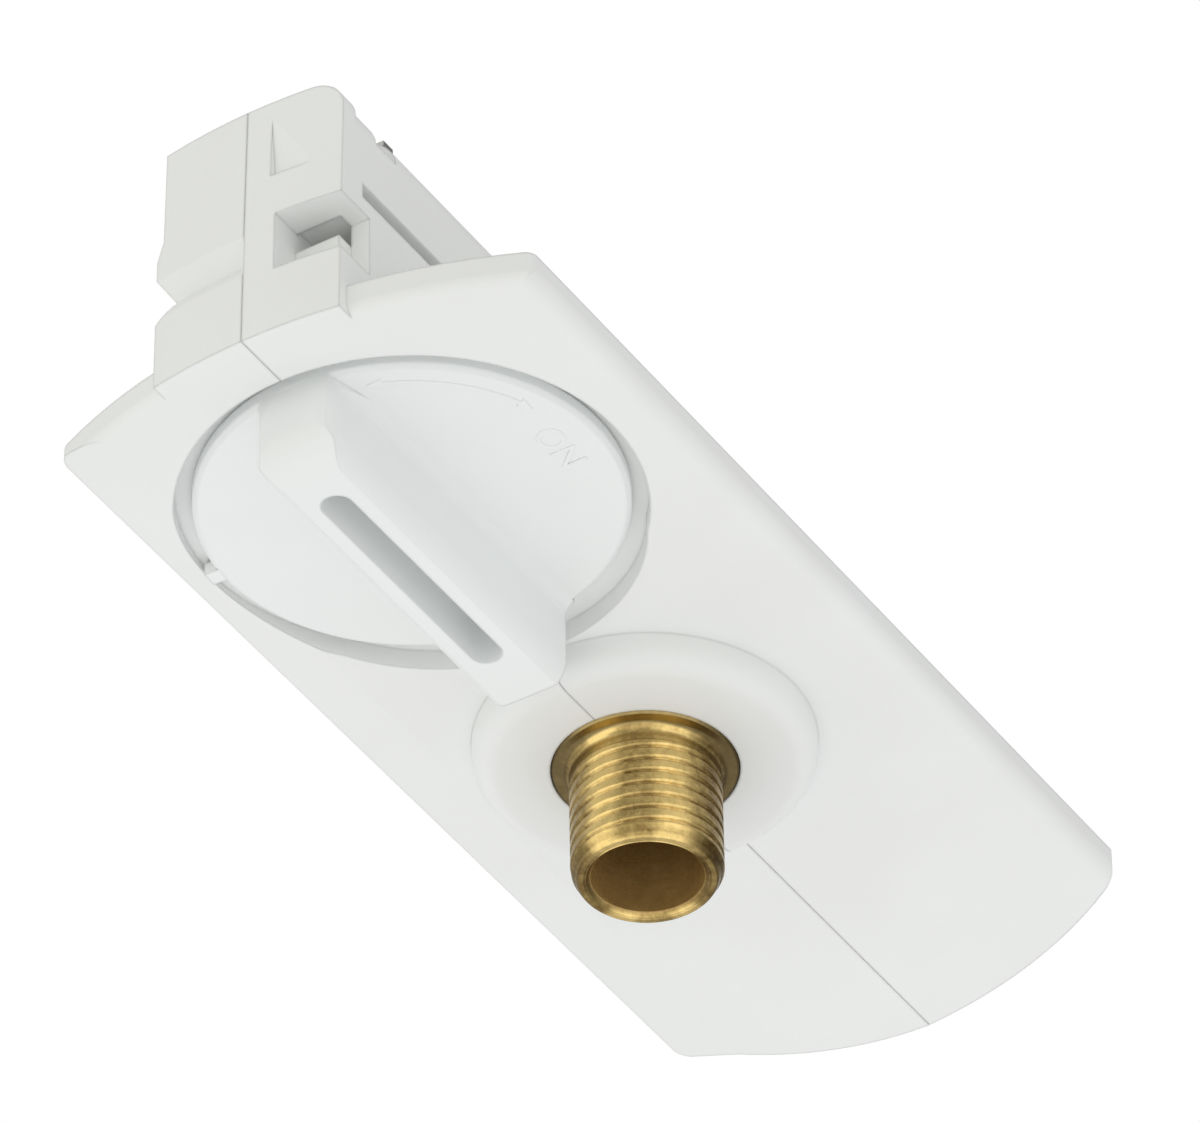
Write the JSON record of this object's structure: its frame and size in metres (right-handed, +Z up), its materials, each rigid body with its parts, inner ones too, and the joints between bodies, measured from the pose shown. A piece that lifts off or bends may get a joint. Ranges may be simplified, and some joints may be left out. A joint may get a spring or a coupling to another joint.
{
  "type": "track light adapter",
  "caption": "Quarter-turn adapter for a lighting track: moulded half shells with a keyed body, a recessed lock knob that swings out cam and contact blades, and a threaded nipple for a pendant",
  "frame": {"origin": "on the nipple's axis, in the plane of the plate's upper face that seats on the track", "axes": "X runs along the plate towards its far end, away from the knob; Y to the bevelled left edge; Z up into the track"},
  "size_m": [0.084, 0.0356, 0.0315],
  "materials": {
    "shell_plastic": "off-white moulded plastic, fine matte texture",
    "knob_plastic": "cool white moulded plastic, satin",
    "inner_plastic": "dark moulded insulator",
    "contact_copper": "bare copper alloy",
    "zinc_steel": "zinc-plated steel",
    "spring_steel": "dull spring steel",
    "worn_brass": "worn brass with darker streaks"
  },
  "bodies": {
    "housing": {"housing_left": "shell_plastic", "housing_right": "shell_plastic", "threaded_nipple": "worn_brass", "earth_tag": "contact_copper", "lock_washer": "zinc_steel", "nipple_nut": "worn_brass", "live_terminal": "worn_brass", "neutral_terminal": "worn_brass", "earth_terminal": "worn_brass", "terminal_screws": "zinc_steel", "terminal_barrier": "inner_plastic", "live_strip": "contact_copper", "neutral_strip": "contact_copper", "earth_contact": "spring_steel", "housing_screws": "zinc_steel"},
    "lock_rotor": {"lock_knob": "knob_plastic", "locking_cam": "inner_plastic", "contact_rotor": "inner_plastic", "live_blade": "contact_copper", "neutral_blade": "contact_copper", "rotor_screw": "zinc_steel"}
  },
  "joints": [
    {"name": "knob_turn", "type": "hinge", "parent": "housing", "child": "lock_rotor", "pos_m": [-0.028, 0, 0], "axis": [0, 0, 1], "range_deg": [0, 90]}
  ]
}
